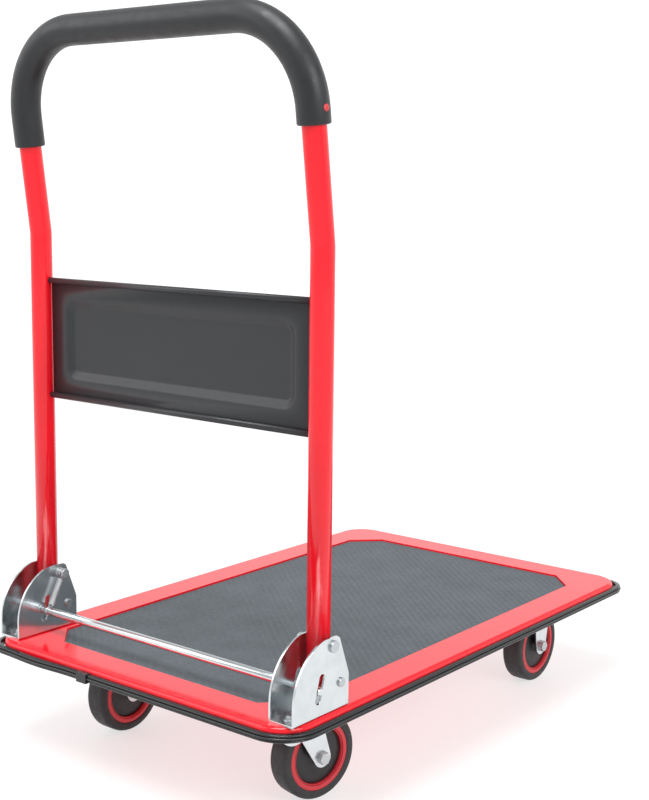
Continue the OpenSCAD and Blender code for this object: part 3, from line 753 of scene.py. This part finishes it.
def grip_piece(handle):
    """Foam sleeve stretched over the tube; its cut ends are softly rounded."""
    line = HandleLine(handle)
    outer, inner = handle.grip / 2, handle.tube / 2 + 0.1 * MM
    ease = 2.2 * MM
    bm = bmesh.new()
    first = line.at(LEG_Y, handle.grip_left)
    sweep = Sweep(bm, ring(bm, first, line.up, inner, 56))
    steps = 5

    def rounded_end(centre, inward, opening):
        """Draws the end from the tube out to the full sleeve, or back again."""
        now = inner if opening else outer
        order = range(steps + 1) if opening else reversed(range(steps + 1))
        depth = 0 if opening else ease
        for k in order:
            t = math.pi / 2 * k / steps
            want = outer - ease + ease * math.sin(t)
            level = ease * (1 - math.cos(t))
            sweep.run(inward * (level - depth))
            bmesh.ops.scale(bm, verts=sweep.verts, vec=(want / now,) * 3,
                            space=Matrix.Translation(-(centre + inward * level)))
            now, depth = want, level

    rounded_end(first, line.up, True)
    over_the_top(sweep, line, handle.grip_left + ease, handle.grip_right + ease)
    last = line.at(-LEG_Y, handle.grip_right)
    rounded_end(last, line.up, False)
    sweep.grow(last, inner / (outer - ease))
    bore = Sweep(bm, ring(bm, first, line.up, inner, 56))
    over_the_top(bore, line, handle.grip_left, handle.grip_right)
    faces_out(bm)
    piece = finished(bm, "grip", "foam", "handle", ["foam_grip"])


def plug_piece(handle):
    """Domed red buttons that hold the sleeve's ends on the tube."""
    bm = bmesh.new()
    low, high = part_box("grip_plugs")
    radius = (high.z - low.z) / 2
    centre = (low + high) / 2
    for side in SIDES.values():
        face = Vector((centre.x, side * (LEG_Y + handle.grip / 2), centre.z))
        lathe(bm, [(0, -3 * MM), (radius, -3 * MM), (radius, -0.4 * MM), (radius * 0.8, 0.2 * MM),
                   (radius * 0.45, 0.5 * MM), (0, 0.6 * MM)], face, Y * side, 28)
    faces_out(bm)
    finished(bm, "plugs", "rim", "handle", ["grip_plugs"])


def panel_piece(handle):
    """Pressed steel sheet: a shallow recess with soft slopes, and a rolled bead at each edge."""
    low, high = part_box("back_panel")
    half_y = LEG_Y - handle.tube / 2 - 0.2 * MM
    bead = handle.bead / 2
    centre = Vector((low.x + bead + 1.5 * MM, 0, (low.z + high.z) / 2))
    half_z = (high.z - low.z) / 2 - bead
    bm = bmesh.new()
    made = bmesh.ops.create_grid(bm, x_segments=1, y_segments=1, size=1)
    inset = handle.margin - 3 * MM
    bmesh.ops.scale(bm, verts=made["verts"],
                    vec=(half_z + bead - inset, half_y - inset, 1))
    bmesh.ops.rotate(bm, verts=made["verts"], cent=(0, 0, 0),
                     matrix=Matrix.Rotation(math.pi / 2, 3, "Y"))
    bmesh.ops.translate(bm, verts=made["verts"], vec=centre)
    bmesh.ops.bevel(bm, geom=bm.verts[:], offset=RECESS_CORNER, offset_type="OFFSET",
                    affect="VERTICES", segments=8, profile=0.5, material=-1)
    recess = bm.faces[:]
    rim_edges = bm.edges[:]
    border = outline(bm, [centre + Vector((0, sy * half_y, sz * half_z))
                          for sy, sz in ((-1, -1), (1, -1), (1, 1), (-1, 1))])
    border_edges = [e for e in bm.edges if e.verts[0] in border and e.verts[1] in border]
    bmesh.ops.triangle_fill(bm, use_beauty=True, use_dissolve=False,
                            edges=rim_edges + border_edges)
    bmesh.ops.recalc_face_normals(bm, faces=bm.faces)
    inward = 1 if recess[0].normal.x > 0 else -1
    for step, drop in RECESS_SLOPE:
        bmesh.ops.inset_region(bm, faces=recess, thickness=step * MM, use_even_offset=True,
                               depth=inward * drop / 5 * handle.recess)
    for sign in (1, -1):
        level = centre.z + sign * half_z
        edge = [e for e in border_edges if all(abs(v.co.z - level) < 0.01 * MM for v in e.verts)]
        bmesh.ops.spin(bm, geom=edge[0].verts[:] + edge, axis=-Y * sign, steps=BEAD_STEPS,
                       cent=Vector((centre.x - bead + 0.4 * MM, 0, level)),
                       angle=BEAD_TURN, use_duplicate=False)
    bmesh.ops.remove_doubles(bm, verts=bm.verts, dist=PIECE_MERGE)
    bmesh.ops.recalc_face_normals(bm, faces=bm.faces)
    piece = finished(bm, "panel", "panel", "handle", ["back_panel"], crease=45)
    sheet = piece.modifiers.new("sheet", "SOLIDIFY")
    sheet.thickness = SHEET
    sheet.offset = 0


class CART_OT_handle(bpy.types.Operator):
    """Handle tube, foam grip with its buttons, and the back panel"""
    bl_idname = "cart.handle"
    bl_label = "Handle"

    def execute(self, context):
        handle = context.scene.cart.handle
        tube_piece(handle)
        grip_piece(handle)
        plug_piece(handle)
        panel_piece(handle)
        return {"FINISHED"}


# ---------- casters ----------

def wheel_place(name):
    """Centre and axle direction of a wheel, from its joint."""
    joint = JOINTS[f"{name}_wheel_spin"]
    return Vector(joint["pos_m"]), Vector(joint["axis"]).normalized()


def tyre_piece(name, caster):
    """Solid rubber tyre with round shoulders, a fine seam round the tread and a side step."""
    centre, axle = wheel_place(name)
    half, outer, inner = caster.tyre_width / 2, caster.wheel / 2, caster.rim / 2
    shoulder = 5 * MM
    seam = [(outer + 0.15 * MM, 0)]
    top = arc(outer - shoulder, half - shoulder, shoulder, 0, 78, 7)
    top += [(outer - 6.5 * MM, half), (inner + 1.4 * MM, half),
            (inner + 0.5 * MM, half - 0.5 * MM), (inner, half - 1 * MM),
            (inner, half - 3 * MM)]
    profile = mirrored(top) + seam + top
    bm = bmesh.new()
    lathe(bm, profile, centre, axle, caster.segments)
    faces_out(bm)
    finished(bm, f"{name}_tyre_moulded", "tyre", f"{name}_wheel",
             [f"{name}_tyre"], crease=50)


def rim_piece(name, caster):
    """Red ring between tyre and hub: a flat band, a groove and a low lip round the hub."""
    centre, axle = wheel_place(name)
    half, outer, inner = caster.tyre_width / 2, caster.rim / 2, caster.hub / 2
    face = [(outer, half - 3.2 * MM), (outer, half - 1.1 * MM),
            (outer - 0.7 * MM, half - 0.6 * MM), (inner + 2.5 * MM, half - 0.6 * MM),
            (inner + 2 * MM, half - 1 * MM),
            (inner + 1.8 * MM, half - 2.4 * MM), (inner + 1.2 * MM, half - 2.4 * MM),
            (inner + 1 * MM, half - 1.5 * MM), (inner + 0.3 * MM, half - 1.5 * MM),
            (inner, half - 2 * MM), (inner, half - 5 * MM)]
    bm = bmesh.new()
    lathe(bm, mirrored(face) + face, centre, axle, caster.segments)
    faces_out(bm)
    finished(bm, f"{name}_rim_moulded", "rim", f"{name}_wheel",
             [f"{name}_rim"], crease=40)


def hub_piece(name, caster):
    """Black hub disc, set below the ring's face, with a boss round the axle."""
    centre, axle = wheel_place(name)
    half, outer = caster.tyre_width / 2, caster.hub / 2
    bore = 4.05 * MM
    face = [(outer, half - 4.6 * MM), (outer - 0.6 * MM, half - 4.1 * MM),
            (outer * 0.7, half - 4 * MM), (11.5 * MM, half - 3.7 * MM),
            (9.8 * MM, half - 2.2 * MM), (9.2 * MM, half + 1.4 * MM),
            (8.6 * MM, half + 2.2 * MM), (bore, half + 2.2 * MM)]
    bm = bmesh.new()
    lathe(bm, mirrored(face) + face, centre, axle, caster.segments)
    faces_out(bm)
    finished(bm, f"{name}_hub_moulded", "hub", f"{name}_wheel",
             [f"{name}_hub"], crease=40)


class CART_OT_casters(bpy.types.Operator):
    """Wheels, forks, axles, plates and their fasteners"""
    bl_idname = "cart.casters"
    bl_label = "Casters"

    def execute(self, context):
        caster = context.scene.cart.caster
        for name in WHEELS:
            tyre_piece(name, caster)
            rim_piece(name, caster)
            hub_piece(name, caster)
            parts = [("fork", 0.5, "zinc"), ("axle", 0.7, "bolt"), ("axle_nut", 0.7, "bolt")]
            for part, ease, material in parts:
                node = f"{name}_{part}"
                eased_piece(node, f"{node}_plated", ease * MM, 2, material, CAST_BODY[name])
            if name.startswith("rear"):
                for part in ("plate", "bearing", "kingpin"):
                    node = f"{name}_{part}"
                    eased_piece(node, f"{node}_plated", 0.4 * MM, 2, "zinc", "deck")
        for node in ("caster_studs", "caster_nuts"):
            eased_piece(node, f"{node}_plated", 0.5 * MM, 2, "bolt", "deck")
        return {"FINISHED"}


# ---------- stage ----------

# name, place, target, width and height in metres, and watts
SOFTBOXES = (
    ("key_softbox", (-0.6, -3.0, 1.9), (0, 0, 0.3), (2.0, 1.4), 55),
    ("fill_softbox", (-2.1, 1.8, 2.1), (-0.3, 0, 0.45), (2.2, 2.2), 30),
    ("top_softbox", (-1.1, -0.3, 2.9), (0, 0, 0.2), (1.4, 1.4), 70),
)


def soft_light(name, at, towards, size, power):
    """A large rectangular softbox."""
    lamp = bpy.data.lights.new(name, "AREA")
    lamp.shape = "RECTANGLE"
    lamp.size, lamp.size_y = size
    lamp.energy = power
    holder = bpy.data.objects.new(name, lamp)
    holder.location = at
    holder.rotation_euler = (Vector(towards) - Vector(at)).to_track_quat("-Z", "Y").to_euler()
    bpy.context.scene.collection.objects.link(holder)


class CART_OT_stage(bpy.types.Operator):
    """Camera, floor, surroundings and soft lights"""
    bl_idname = "cart.stage"
    bl_label = "Stage"

    def execute(self, context):
        stage = context.scene.cart.stage
        scene = context.scene
        lens = bpy.data.cameras.new("camera")
        lens.lens = stage.focal / MM
        lens.sensor_width = SENSOR
        lens.clip_start, lens.clip_end = 0.05, 60
        camera = bpy.data.objects.new("camera", lens)
        a, e = stage.azimuth, stage.elevation
        back = Vector((math.sin(a) * math.cos(e), -math.cos(a) * math.cos(e), math.sin(e)))
        turn = (-back).to_track_quat("-Z", "Y").to_matrix().to_4x4()
        camera.matrix_world = (Matrix.Translation(stage.eye) @ turn
                               @ Matrix.Rotation(stage.roll, 4, "Z"))
        scene.collection.objects.link(camera)
        scene.camera = camera

        bm = bmesh.new()
        bmesh.ops.create_circle(bm, cap_ends=True, radius=stage.floor, segments=96)
        floor = finished(bm, "floor", "floor", None)
        bm = bmesh.new()
        first = Matrix.Rotation(a + math.pi / 2 - BACKDROP_HALF_ARC, 4, "Z")
        start = first @ Vector((stage.wall, 0, 0))
        top = start + Z * BACKDROP_HEIGHT
        edge = bm.edges.new((bm.verts.new(start), bm.verts.new(top)))
        bmesh.ops.spin(bm, geom=edge.verts[:] + [edge], cent=(0, 0, 0), axis=Z,
                       angle=2 * BACKDROP_HALF_ARC, steps=60, use_duplicate=False)
        backdrop = finished(bm, "backdrop", "backdrop", None)

        world = bpy.data.worlds.new("surroundings")
        world.use_nodes = True
        sky = world.node_tree.nodes["Background"]
        sky.inputs["Color"].default_value = linear("#fdfeff")
        sky.inputs["Strength"].default_value = stage.sky
        scene.world = world
        scene.view_settings.view_transform = "Standard"

        for light in SOFTBOXES:
            soft_light(*light)
        return {"FINISHED"}


class CART_OT_finishes(bpy.types.Operator):
    """Materials for every finish on the cart"""
    bl_idname = "cart.finishes"
    bl_label = "Finishes"

    def execute(self, context):
        make_materials(context.scene.cart.finish)
        return {"FINISHED"}


class CART_PT_panel(bpy.types.Panel):
    """Sidebar panel with the cart's operators"""
    bl_idname = "CART_PT_panel"
    bl_label = "Platform cart"
    bl_space_type = "VIEW_3D"
    bl_region_type = "UI"
    bl_category = "Cart"

    def draw(self, context):
        for operator in OPERATORS:
            self.layout.operator(operator.bl_idname)
        for group in ("deck", "handle", "caster", "finish", "stage"):
            settings = getattr(context.scene.cart, group)
            box = self.layout.box()
            box.label(text=group.capitalize())
            for name in settings.__annotations__:
                box.prop(settings, name)


OPERATORS = (CART_OT_finishes, CART_OT_stage, CART_OT_deck, CART_OT_hinge, CART_OT_handle,
             CART_OT_casters)
CLASSES = (CartDeckSettings, CartHandleSettings, CartCasterSettings, CartFinishSettings,
           CartStageSettings, CartSettings, *OPERATORS, CART_PT_panel)


def register():
    for cls in CLASSES:
        bpy.utils.register_class(cls)
    bpy.types.Scene.cart = PointerProperty(type=CartSettings)


def unregister():
    del bpy.types.Scene.cart
    for cls in reversed(CLASSES):
        bpy.utils.unregister_class(cls)


def main():
    register()
    bpy.ops.cart.finishes()
    bpy.ops.cart.stage()
    bpy.ops.cart.deck()
    bpy.ops.cart.hinge()
    bpy.ops.cart.handle()
    bpy.ops.cart.casters()


if __name__ == "__main__":
    main()
